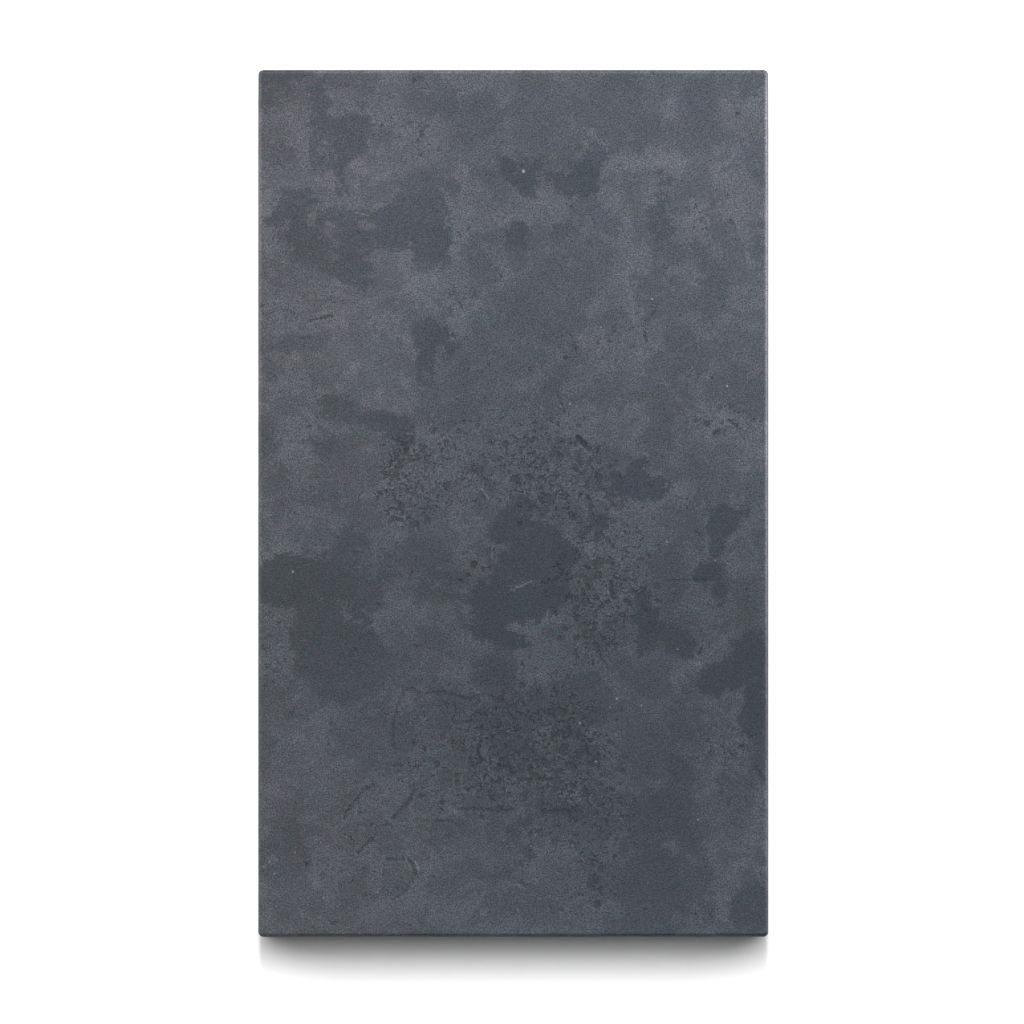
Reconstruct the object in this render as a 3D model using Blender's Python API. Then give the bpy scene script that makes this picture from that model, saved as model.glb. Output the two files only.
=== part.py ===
"""Flat rectangular basalt massage stone: one solid slab, sawn and honed, with every edge eased.

The stone lies flat. The origin is the middle of its underside, +X runs across its width,
+Y along its length and +Z up through its thickness. Run it with
blender --background --python part.py, or from Blender's text editor.
"""

import bmesh
import bpy
from mathutils import Vector

MM = 0.001

# Driving dimensions.
STONE_WIDTH = 100 * MM
STONE_LENGTH = 170 * MM
STONE_THICKNESS = 20 * MM
ARRIS_RADIUS = 0.8 * MM  # the rounding honed onto each edge of the two faces
FACE_CORNER_RADIUS = 0.2 * MM  # at a face's corners, inside the arris

# Fineness of the round stretches.
CORNER_SEGMENTS = 6
ARRIS_SEGMENTS = 5

# The finish: charcoal basalt with a satin hone.
BASALT_COLOUR = (0.089, 0.098, 0.114, 1.0)
BASALT_ROUGHNESS = 0.62


def clear_scene():
    for obj in list(bpy.data.objects):
        bpy.data.objects.remove(obj)


def basalt_material():
    material = bpy.data.materials.new("basalt")
    material.use_nodes = True
    shader = material.node_tree.nodes["Principled BSDF"]
    shader.inputs["Base Color"].default_value = BASALT_COLOUR
    shader.inputs["Roughness"].default_value = BASALT_ROUGHNESS
    shader.inputs["Metallic"].default_value = 0.0
    return material


def sawn_block():
    """A sharp-edged block that stands on z = 0."""
    block = bmesh.new()
    bmesh.ops.create_cube(block, size=1.0)
    bmesh.ops.scale(
        block, vec=(STONE_WIDTH, STONE_LENGTH, STONE_THICKNESS), verts=block.verts
    )
    bmesh.ops.translate(block, vec=(0, 0, STONE_THICKNESS / 2), verts=block.verts)
    return block


def round_edges(block, edges, radius, segments):
    bmesh.ops.bevel(
        block,
        geom=edges,
        offset=radius,
        offset_type="OFFSET",
        affect="EDGES",
        segments=segments,
        profile=0.5,
        clamp_overlap=False,
        material=-1,
    )


def upright_edges(block):
    """The four edges between the sides."""
    return [
        edge
        for edge in block.edges
        if abs((edge.verts[0].co - edge.verts[1].co).normalized().z) > 0.99
    ]


def rim_edges(block):
    """The outlines of the two broad faces."""
    up = Vector((0, 0, 1))
    faces = [face for face in block.faces if abs(face.normal.dot(up)) > 0.99]
    return [edge for face in faces for edge in face.edges]


def make_basalt_stone():
    block = sawn_block()
    # In plan, a corner's radius is the face's own corner with the arris round it.
    plan_corner_radius = FACE_CORNER_RADIUS + ARRIS_RADIUS
    round_edges(block, upright_edges(block), plan_corner_radius, CORNER_SEGMENTS)
    block.normal_update()
    round_edges(block, rim_edges(block), ARRIS_RADIUS, ARRIS_SEGMENTS)
    bmesh.ops.recalc_face_normals(block, faces=block.faces)

    mesh = bpy.data.meshes.new("basalt_stone")
    block.to_mesh(mesh)
    block.free()
    mesh.materials.append(basalt_material())
    mesh.shade_smooth()
    mesh.set_sharp_from_angle(angle=0.6)
    stone = bpy.data.objects.new("basalt_stone", mesh)
    bpy.context.scene.collection.objects.link(stone)
    return stone


clear_scene()
make_basalt_stone()
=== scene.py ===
import math

import bmesh
import bpy
import numpy as np
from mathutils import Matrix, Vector, noise


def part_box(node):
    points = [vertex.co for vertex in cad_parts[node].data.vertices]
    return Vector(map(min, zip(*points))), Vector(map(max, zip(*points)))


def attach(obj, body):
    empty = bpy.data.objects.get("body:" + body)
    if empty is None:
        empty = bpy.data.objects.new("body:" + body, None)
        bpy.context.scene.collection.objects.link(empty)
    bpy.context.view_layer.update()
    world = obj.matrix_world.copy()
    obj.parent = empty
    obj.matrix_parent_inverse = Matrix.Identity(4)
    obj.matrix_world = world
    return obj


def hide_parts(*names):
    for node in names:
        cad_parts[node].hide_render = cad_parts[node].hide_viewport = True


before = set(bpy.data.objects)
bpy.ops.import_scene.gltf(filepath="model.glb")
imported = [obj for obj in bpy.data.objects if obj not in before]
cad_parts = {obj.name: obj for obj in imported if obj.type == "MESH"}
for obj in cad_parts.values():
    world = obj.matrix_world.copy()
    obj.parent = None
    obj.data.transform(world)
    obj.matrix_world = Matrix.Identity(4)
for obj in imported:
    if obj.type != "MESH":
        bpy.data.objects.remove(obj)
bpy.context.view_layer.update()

mm = 0.001
stoneLow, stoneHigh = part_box("basalt_stone")
halfWidth = (stoneHigh.x - stoneLow.x) / 2
halfLength = (stoneHigh.y - stoneLow.y) / 2

cameraSetup = {
    "lens": 300.0,             # mm, on a 36 mm sensor
    "fieldWidth": 200.7 * mm,  # what the frame spans at the height of the working face
    "aimX": -0.25 * mm,
    "aimY": -1.70 * mm,
}


def makeCamera():
    data = bpy.data.cameras.new("camera")
    data.sensor_width = 36.0
    data.lens = cameraSetup["lens"]
    data.clip_start = 0.01
    data.clip_end = 20.0
    camera = bpy.data.objects.new("camera", data)
    bpy.context.scene.collection.objects.link(camera)
    height = cameraSetup["fieldWidth"] / data.sensor_width * data.lens
    # straight down, with +Y at the top of the frame
    camera.location = (cameraSetup["aimX"], cameraSetup["aimY"], stoneHigh.z + height)
    bpy.context.scene.camera = camera


makeCamera()
print("camera made")


def linearColour(hexText):
    values = [int(hexText[i:i + 2], 16) / 255 for i in (1, 3, 5)]
    linear = [v / 12.92 if v <= 0.04045 else ((v + 0.055) / 1.055) ** 2.4 for v in values]
    return (*linear, 1.0)


def addNode(tree, kind, settings=None, links=None, give=0):
    # settings name the node's own properties or its inputs, links name inputs, give names the output;
    # an input that shares its name goes by its number, as the two colours of a mix do, 6 and 7
    node = tree.nodes.new(kind)
    for name, value in (settings or {}).items():
        if isinstance(name, str) and hasattr(node, name):
            setattr(node, name, value)
        else:
            node.inputs[name].default_value = value
    for name, source in (links or {}).items():
        tree.links.new(source, node.inputs[name])
    return node.outputs[give] if node.outputs else None


# The slab: a sawn block with its edges eased, on a net fine enough to carry the wear of the face.
slabShape = {
    "arrisRadius": 0.8 * mm,
    "faceCornerRadius": 0.2 * mm,
    "cornerSegments": 6,
    "arrisSegments": 5,
    "netStep": 1.04 * mm,       # on the underside; the working face has half, and a quarter along cracks
    "sideStep": 1.4 * mm,
}


def coreCorner(point, radius):
    # the nearest point of the rectangle that the plan corners are rounded about
    limitX = halfWidth - radius
    limitY = halfLength - radius
    return Vector((max(-limitX, min(limitX, point.x)), max(-limitY, min(limitY, point.y)), point.z))


def growRing(bm, ring, outwardBy, downBy):
    # extrudes an outline and moves the new one out in plan and down
    planRadius = slabShape["arrisRadius"] + slabShape["faceCornerRadius"]
    made = bmesh.ops.extrude_edge_only(bm, edges=ring)["geom"]
    for item in made:
        if isinstance(item, bmesh.types.BMVert):
            outward = item.co - coreCorner(item.co, planRadius)
            outward.z = 0
            item.co += outward.normalized() * outwardBy
            item.co.z -= downBy
    return [item for item in made if isinstance(item, bmesh.types.BMEdge) and item.is_boundary]


def halveEdges(bm, faces, shortest):
    # halves the edges of these faces that are longer than the shortest one to halve
    chosen = set(faces)
    edges = [
        e for e in bm.edges
        if e.calc_length() > shortest and any(f in chosen for f in e.link_faces)
    ]
    bmesh.ops.subdivide_edges(bm, edges=edges, cuts=1, use_grid_fill=True)


def makeSlabNet():
    radius = slabShape["arrisRadius"]
    flatWidth = 2 * (halfWidth - radius)
    flatLength = 2 * (halfLength - radius)
    bm = bmesh.new()
    bmesh.ops.create_grid(
        bm,
        x_segments=round(flatWidth / slabShape["netStep"]),
        y_segments=round(flatLength / slabShape["netStep"]),
        size=0.5,
    )
    bmesh.ops.scale(bm, vec=(flatWidth, flatLength, 1), verts=bm.verts)
    bmesh.ops.translate(bm, vec=(0, 0, stoneHigh.z), verts=bm.verts)
    reach = 1e-6
    corners = [
        v for v in bm.verts
        if abs(v.co.x) > flatWidth / 2 - reach and abs(v.co.y) > flatLength / 2 - reach
    ]
    bmesh.ops.bevel(
        bm, geom=corners, offset=slabShape["faceCornerRadius"], offset_type="OFFSET", affect="VERTICES",
        segments=slabShape["cornerSegments"], profile=0.5, clamp_overlap=False, material=-1,
    )
    workingFaces = list(bm.faces)
    ring = [e for e in bm.edges if e.is_boundary]

    # the underside is a copy of the same net
    copied = bmesh.ops.duplicate(bm, geom=bm.verts[:] + bm.edges[:] + bm.faces[:])["geom"]
    underside = [item for item in copied if isinstance(item, bmesh.types.BMVert)]
    bmesh.ops.translate(bm, vec=(0, 0, stoneLow.z - stoneHigh.z), verts=underside)

    # down over the upper arris, the sides and the lower arris, one outline after another
    steps = slabShape["arrisSegments"]
    angles = [math.pi / 2 * i / steps for i in range(steps + 1)]
    for a, b in zip(angles, angles[1:]):
        ring = growRing(bm, ring, radius * (math.sin(b) - math.sin(a)), radius * (math.cos(a) - math.cos(b)))
    sideHeight = stoneHigh.z - stoneLow.z - 2 * radius
    rows = round(sideHeight / slabShape["sideStep"])
    for i in range(rows):
        ring = growRing(bm, ring, 0, sideHeight / rows)
    for a, b in zip(angles, angles[1:]):
        ring = growRing(bm, ring, -radius * (math.cos(a) - math.cos(b)), radius * (math.sin(b) - math.sin(a)))

    # the last outline lies on the underside's own, and the two are joined
    joined = [v for v in bm.verts if v.is_boundary]
    bmesh.ops.remove_doubles(bm, verts=joined, dist=0.01 * mm)

    # halve the working face's net, but for the short edges round its corners
    halveEdges(bm, workingFaces, 0.4 * slabShape["netStep"])
    bmesh.ops.recalc_face_normals(bm, faces=bm.faces)
    return bm


# Everything below is in mm from the middle of the working face: x to the right, y up the length.
# A smooth dark patch is a few ovals that run together:
# centre x, centre y, half-size across, half-size along, turn in degrees, depth of colour 0 to 1.
darkPatches = [
    # top left: the corner, the long upright band and the clouds beside it
    (-46.5, 83.4, 6.4, 2.6, 14, 0.91), (-49.0, 80.4, 2.2, 3.4, -20, 0.91),
    (-38.2, 78.0, 2.0, 5.0, 0, 0.87), (-38.2, 70.5, 2.1, 5.6, 0, 0.87),
    (-33.0, 72.0, 4.8, 4.4, 0, 0.81), (-34.3, 65.5, 1.9, 3.6, 15, 0.87),
    (-32.8, 61.0, 1.5, 1.2, -40, 0.98), (-33.0, 83.3, 3.2, 2.0, 0, 0.49),
    (-46.3, 73.0, 1.6, 1.4, 0, 0.49), (-45.6, 68.2, 2.3, 2.4, -30, 0.76),
    (-18.6, 83.5, 1.0, 0.8, 0, 0.87), (-14.5, 77.6, 4.2, 2.2, 0, 0.54),
    (-5.8, 64.2, 2.3, 1.1, -20, 0.64), (-6.0, 76.0, 4.0, 5.0, 0, 0.49),
    # upper left: the widest one
    (-42.3, 58.4, 4.4, 3.0, 15, 0.91), (-45.4, 57.0, 2.6, 4.4, -28, 0.87),
    (-39.8, 53.0, 4.6, 5.2, 0, 0.98), (-36.0, 48.8, 7.2, 4.6, -10, 0.96),
    (-31.5, 52.8, 7.0, 5.0, 0, 0.86), (-30.5, 45.4, 4.0, 3.4, 0, 0.92),
    (-24.5, 53.6, 5.4, 4.8, 0, 0.86), (-18.5, 57.0, 5.5, 6.8, -20, 0.82),
    (-16.5, 51.8, 4.6, 5.0, 0, 0.87), (-18.5, 62.6, 4.5, 3.0, 0, 0.64),
    (-13.2, 62.5, 2.2, 3.0, 10, 0.76), (-17.5, 47.3, 3.5, 2.0, 0, 0.60),
    # top middle and top right
    (-1.2, 65.9, 3.6, 1.8, -45, 0.87), (3.4, 61.5, 2.4, 2.0, -45, 0.87),
    (1.8, 63.6, 2.2, 2.6, 0, 0.87), (4.8, 66.0, 2.6, 2.2, 0, 0.81),
    (8.8, 63.0, 3.2, 1.7, -10, 0.81), (13.2, 64.2, 3.7, 4.0, 0, 0.91),
    (16.3, 67.8, 1.9, 1.8, 0, 0.76), (0.3, 52.4, 2.4, 3.0, 0, 0.81),
    (9.9, 53.2, 2.4, 1.9, 0, 0.64), (16.5, 50.6, 3.2, 1.3, -20, 0.64),
    (9.0, 45.6, 5.5, 3.0, 0, 0.43), (36.0, 78.5, 4.2, 5.5, 0, 0.54),
    (35.0, 71.8, 6.5, 3.4, 0, 0.49), (27.5, 73.8, 3.8, 2.6, 0, 0.49),
    (47.8, 67.0, 2.6, 5.0, 0, 0.54), (29.0, 60.5, 1.8, 4.2, -10, 0.81),
    (29.3, 55.0, 2.2, 3.4, 0, 0.81), (24.2, 62.2, 2.6, 2.4, 0, 0.43),
    (47.9, 52.0, 2.2, 4.2, 0, 0.64), (39.4, 44.0, 3.0, 4.2, 10, 0.60),
    (34.5, 49.0, 4.6, 2.0, 0, 0.54),
    (35.0, 39.6, 4.0, 1.8, 0, 0.45), (32.4, 30.6, 2.6, 3.4, 20, 0.50), (44.5, 30.0, 4.6, 5.0, 0, 0.32),
    # left, middle height
    (-44.0, 31.0, 6.5, 1.7, 0, 0.70), (-38.0, 32.3, 2.2, 1.2, 25, 0.60),
    (-47.2, 26.0, 2.8, 2.3, 15, 0.65), (-23.6, 39.4, 2.8, 1.1, 0, 0.55),
    (-20.6, 37.6, 1.2, 1.6, 30, 0.50), (-15.8, 32.2, 4.1, 4.0, 0, 0.92),
    (-17.2, 27.6, 2.5, 3.4, 0, 0.92), (-14.6, 30.6, 2.6, 3.0, 0, 0.92),
    (-8.2, 41.4, 1.7, 1.5, 30, 0.76), (-34.6, 18.2, 3.9, 2.7, 0, 0.95),
    (-30.6, 16.8, 1.8, 0.8, -20, 0.80), (-26.4, 16.2, 3.4, 1.8, -10, 0.90),
    (-23.0, 14.0, 3.3, 3.6, 0, 0.92), (-24.2, 11.6, 1.3, 1.6, 0, 0.85),
    (-38.0, 12.0, 2.8, 2.8, 20, 0.80), (-48.6, 13.0, 1.9, 3.3, 0, 0.80),
    (-29.0, 6.0, 4.3, 4.4, 0, 0.42), (-47.8, 4.2, 2.4, 1.8, 0, 0.50),
    (-36.6, 0.8, 3.4, 2.0, -10, 0.72), (-5.7, 4.6, 1.0, 2.1, 35, 0.80),
    # right, middle height
    (33.0, 32.6, 2.3, 1.9, 0, 0.42), (31.0, 29.8, 1.2, 2.2, 0, 0.42),
    (36.2, 29.6, 2.0, 1.2, 10, 0.38), (28.4, 28.0, 1.4, 1.9, 0, 0.32),
    (18.2, 22.0, 2.6, 2.0, 20, 0.48), (26.0, 21.0, 1.2, 1.8, 0, 0.30),
    (14.1, 11.8, 2.1, 1.4, -35, 0.85), (40.5, 13.3, 1.3, 0.8, 0, 0.70),
    (21.3, 3.4, 2.6, 2.8, 20, 0.95), (24.5, 5.6, 3.0, 2.9, 0, 0.95),
    (28.4, 2.9, 3.1, 2.2, 0, 0.95), (24.5, 2.2, 3.0, 1.6, 0, 0.90),
    (47.5, 3.0, 2.4, 3.0, 0, 0.42), (41.2, -3.6, 3.4, 3.2, 0, 0.90),
    (45.4, -1.6, 1.4, 1.3, 0, 0.75), (39.6, -9.0, 1.5, 3.6, -15, 0.80),
    (38.4, -13.6, 3.0, 2.4, 0, 0.95), (40.0, -17.0, 1.5, 2.0, 0, 0.80),
    (46.2, -17.5, 2.8, 3.8, 0, 0.32),
    # the middle: the darkest
    (1.8, -0.6, 2.4, 2.2, 0, 0.88), (-0.4, -5.0, 4.2, 4.0, 0, 0.90),
    (1.2, -9.6, 5.2, 5.0, 0, 0.90), (4.6, -8.0, 4.6, 4.6, 0, 0.90),
    (8.4, -8.6, 4.6, 1.9, -55, 1.00), (9.0, -11.6, 2.6, 2.2, 0, 1.00),
    (5.5, -12.5, 4.6, 3.4, 0, 0.92), (0.6, -15.2, 4.8, 3.6, 0, 0.92),
    (5.6, -18.0, 4.4, 4.6, 0, 0.96), (1.5, -19.6, 6.0, 3.8, 0, 0.96),
    (-4.4, -20.2, 4.2, 3.8, 0, 1.00), (-5.0, -24.2, 4.2, 3.0, -12, 1.00),
    (-1.6, -26.4, 3.4, 1.9, -20, 1.00), (-5.6, -17.6, 2.4, 2.2, 0, 0.92),
    (-1.8, -12.6, 3.4, 4.8, 0, 0.92), (8.0, -15.6, 3.0, 3.0, 0, 0.92),
    (16.3, -3.9, 1.6, 2.8, 0, 0.85), (-4.0, -33.0, 4.8, 4.0, 0, 0.58),
    # left, below the middle: the big one and its neighbours
    (-31.6, -9.0, 3.0, 5.0, 0, 0.86), (-43.5, -15.8, 7.8, 5.2, 0, 0.98),
    (-34.5, -15.8, 6.4, 5.4, 0, 0.95), (-28.6, -17.0, 3.2, 4.0, 0, 0.75),
    (-36.0, -24.0, 7.8, 5.5, 0, 0.92), (-34.5, -30.0, 9.0, 6.4, 0, 0.92),
    (-33.0, -35.5, 6.2, 4.2, 0, 0.80), (-28.0, -33.0, 3.2, 4.2, 0, 0.70),
    (-18.8, -10.6, 5.8, 3.2, 0, 0.68), (-14.0, -14.4, 4.2, 2.0, -10, 0.82),
    (-16.8, -17.3, 5.2, 2.4, 0, 0.78), (-25.4, -13.8, 4.2, 1.8, 0, 0.70),
    (-15.0, -25.8, 3.8, 2.6, -15, 0.55), (-25.2, -32.0, 1.8, 2.0, 0, 0.50),
    (-46.4, -37.5, 3.0, 2.0, 0, 0.60), (-44.0, -41.2, 2.0, 0.9, -15, 0.60),
    # right, below the middle
    (25.2, -19.2, 1.8, 2.4, 0, 0.95), (26.1, -24.3, 2.5, 3.6, 0, 1.00),
    (26.0, -28.0, 2.4, 1.9, 0, 0.90), (32.3, -27.2, 3.8, 3.0, -20, 0.90),
    (29.0, -25.0, 1.7, 1.6, 0, 0.90), (46.0, -30.2, 4.8, 5.0, 0, 0.86),
    (41.0, -33.6, 7.0, 3.2, 20, 0.90), (47.5, -41.0, 3.2, 7.0, 0, 0.92),
    (48.2, -49.0, 2.0, 5.0, 0, 0.70), (15.5, -35.2, 3.0, 2.3, 0, 0.65),
    (3.0, -39.2, 3.8, 2.2, 0, 0.50),
    # bottom
    (-2.6, -46.3, 1.9, 3.4, 10, 0.85), (-6.8, -42.2, 2.0, 1.2, 0, 0.75),
    (-14.0, -43.8, 2.0, 1.6, 0, 0.40), (-48.6, -47.0, 1.7, 2.4, 0, 0.42),
    (-49.0, -52.0, 1.3, 1.4, 0, 0.50), (-45.3, -69.0, 5.2, 6.0, 0, 0.72),
    (-43.4, -63.6, 2.0, 2.0, 0, 0.68), (-39.6, -64.5, 1.7, 0.8, 0, 0.60),
    (-43.8, -74.6, 2.8, 1.3, 0, 0.65), (-12.4, -63.3, 3.0, 1.5, -15, 0.60),
    (2.0, -63.2, 2.1, 1.2, 40, 0.85), (3.0, -67.6, 1.0, 2.0, 0, 0.80),
    (7.0, -63.1, 1.5, 0.9, 0, 0.60), (7.5, -66.6, 0.8, 0.6, 0, 0.70),
    (-2.4, -73.0, 1.7, 0.7, 25, 0.70), (-2.5, -67.8, 1.4, 0.9, 0, 0.40),
    (10.8, -60.4, 4.2, 0.9, 0, 0.75), (17.5, -62.8, 3.6, 3.4, 0, 0.50),
    (29.0, -60.0, 6.6, 5.0, 0, 0.70), (33.0, -53.5, 3.2, 5.0, 0, 0.60),
    (28.5, -68.0, 8.0, 5.5, 0, 0.65), (27.0, -75.5, 8.5, 5.0, 0, 0.60),
    (25.0, -82.0, 7.0, 3.4, 0, 0.60), (35.0, -73.0, 4.0, 4.0, 0, 0.50),
    (35.5, -64.0, 1.6, 2.0, 0, 0.60), (42.2, -54.6, 2.0, 1.4, 0, 0.50),
    (31.5, -40.5, 1.0, 0.7, 0, 0.50), (25.8, -48.4, 0.9, 1.9, 10, 0.75),
    (47.0, -79.4, 4.6, 4.8, 0, 0.80), (38.0, -80.0, 1.4, 1.0, 0, 0.60),
    # faint broad ones
    (1.0, 34.0, 9.0, 9.0, 0, 0.34), (6.0, 76.0, 6.0, 8.0, 0, 0.35), (22.0, 79.0, 9.0, 5.0, 0, 0.30),
    (14.0, 48.0, 7.0, 5.0, 0, 0.37), (27.0, -49.0, 5.0, 6.0, 0, 0.45), (12.0, -39.0, 8.0, 5.0, 0, 0.50),
    (-1.0, -44.0, 5.0, 7.0, 0, 0.45), (-6.0, 22.0, 6.0, 5.0, 0, 0.25), (38.0, 8.0, 6.0, 4.0, 0, 0.25),
    (-42.0, 44.0, 5.0, 3.0, 0, 0.27), (-8.0, 70.0, 6.0, 4.0, 0, 0.33), (42.0, -62.0, 5.0, 6.0, 0, 0.30),
]

# Rough islands and bays in those patches: centre, half-sizes, turn.
roughIslands = [
    (-34.3, 77.8, 2.2, 1.9, 0), (-30.2, 77.6, 1.6, 0.9, 0), (-36.8, 69.2, 0.8, 1.5, 20),
    (-32.4, 65.4, 0.9, 1.9, 0), (-36.2, 53.0, 0.6, 1.5, 0), (-35.2, 50.8, 0.8, 0.5, 0),
    (-29.2, 55.0, 1.2, 0.6, -20), (-38.8, 56.0, 0.9, 0.5, 50), (-23.8, 46.2, 3.0, 1.8, 20),
    (8.6, 66.6, 2.3, 1.7, -20), (6.2, 61.3, 1.8, 1.0, 0), (35.0, 44.6, 2.6, 2.6, 0),
    (-43.0, 27.2, 2.0, 1.4, 0), (-14.6, 29.8, 0.5, 0.3, 20), (-36.3, 13.0, 0.7, 0.6, 0),
    (26.7, 6.8, 0.9, 0.8, 0), (-4.2, -10.2, 0.5, 2.4, 0), (-2.1, -8.9, 0.8, 0.6, 30),
    (3.2, -15.4, 1.1, 0.6, 15), (0.6, -16.2, 0.7, 0.4, 0), (-33.0, -21.0, 1.3, 1.6, 0),
    (-30.5, -23.3, 0.8, 0.7, 0), (-28.0, -24.2, 1.3, 0.6, 0), (-14.2, -12.1, 1.5, 0.7, 0),
    (-14.6, -15.7, 0.9, 0.7, 0), (-19.0, -15.5, 2.0, 0.7, 10), (31.3, -67.0, 1.4, 1.0, -40),
    (34.6, -69.5, 2.0, 0.7, -20), (33.0, -81.3, 3.0, 1.9, 0), (22.7, -69.3, 0.6, 0.5, 0),
    (-47.6, -70.4, 1.5, 0.6, 30), (-46.8, -72.6, 0.4, 0.8, 0), (-34.6, 48.0, 0.5, 0.4, 0),
]

# Soft washes of lighter or darker stone under everything: centre, half-sizes, turn, strength.
washes = [
    (21, 56, 7, 5, 0, 0.05), (38, 59, 10, 8, 0, 0.07), (45.5, 76, 5, 6, 0, 0.06),
    (41, 81, 3, 4, 0, 0.05), (5, 58, 6, 4, 0, 0.04), (28, 67.3, 9, 2.5, 0, 0.05),
    (24, 80, 6, 4, 0, 0.03), (-24, 74, 6, 3, 0, 0.06), (-43, 76, 5, 6, 0, 0.05),
    (-38, 61.5, 5, 1.6, 0, 0.06), (-33, 58.0, 3.6, 1.1, -12, 0.12), (-29, 55.0, 1.4, 0.7, -20, 0.10),
    (-7, 57, 5, 4, 0, 0.04), (-24, 46, 3, 1.8, 0, 0.06), (-28, 30, 9, 9, 0, 0.05),
    (15, -14, 6, 10, 0, 0.05), (30, -9, 8, 6, 0, 0.03), (43, -10, 5, 4, 0, 0.03),
    (42, -26, 3, 1.2, 20, 0.24), (37, -30.3, 5, 0.7, 38, 0.26), (-44, -6, 8, 4, 0, 0.03),
    (-18, -21.5, 10, 2.2, 0, 0.05), (-6, -27.5, 9, 1.3, -24, 0.14), (3, -57, 2.5, 2.5, 0, 0.06),
    (44, -68, 5, 6, 0, 0.04), (31.3, -67, 1.6, 1.2, 0, 0.10), (34.6, -69.5, 2, 0.8, -20, 0.10),
    (30.5, -34.5, 1.8, 0.5, -30, 0.10), (25, -32, 4, 1.6, 30, 0.06), (0, 67, 60, 26, 0, 0.13),
    # the broad ones: the lower half and its right side are darker
    (15, -48, 38, 36, 0, -0.33), (38, -14, 16, 14, 0, -0.12), (3, 20, 14, 22, 0, -0.14),
    (-30, -28, 26, 24, 0, -0.12), (-42, -15, 12, 14, 0, -0.08), (-42, -48, 12, 16, 0, -0.06),
    (-35, 58, 18, 28, 0, 0.10), (44, 60, 13, 22, 0, 0.17), (46, -24, 9, 26, 0, -0.10),
    (-22, -58, 14, 24, 0, 0.06), (-22, 2, 8, 14, 0, 0.08), (-30, 34, 8, 6, 0, 0.08),
    (-3, 48, 9, 13, 0, -0.09), (43, -68, 5, 6, 0, 0.10),
]

# Where the face is pitted and crackled: centre, half-sizes, turn, how much.
pittedZones = [
    (-20, 4, 7, 10, 0, 1.0), (-12, 6, 8, 8, 0, 0.80), (8, 6, 12, 10, 0, 1.0), (16, -15, 9, 17, 0, 1.0),
    (4, -48, 17, 14, 0, 1.0), (13, -60, 11, 8, 0, 0.95), (15, -74, 5, 8, 0, 0.75),
    (42, 17, 7, 4, 0, 0.60), (-23, 73, 7, 3, 0, 0.55), (40, 57, 6, 5, 0, 0.35),
    (-10, 12, 8, 6, 0, 0.55), (15, 28, 6, 6, 0, 0.35), (-31, -63, 4, 4, 0, 0.50),
    (43, -47, 5, 5, 0, 0.50), (22, -10, 6, 6, 0, 0.60), (30, -20, 7, 5, 0, 0.35),
    (-47, -28, 3, 8, 0, 0.45), (-44, 38, 6, 3, 0, 0.40), (-12, 40, 3, 3, 0, 0.50),
    (36, -80, 5, 3, 0, 0.60), (-12, -50, 12, 14, 0, 0.55), (-28, -75, 8, 5, 0, 0.30),
    (4, -70, 5, 8, 0, 0.45),
]

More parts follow.
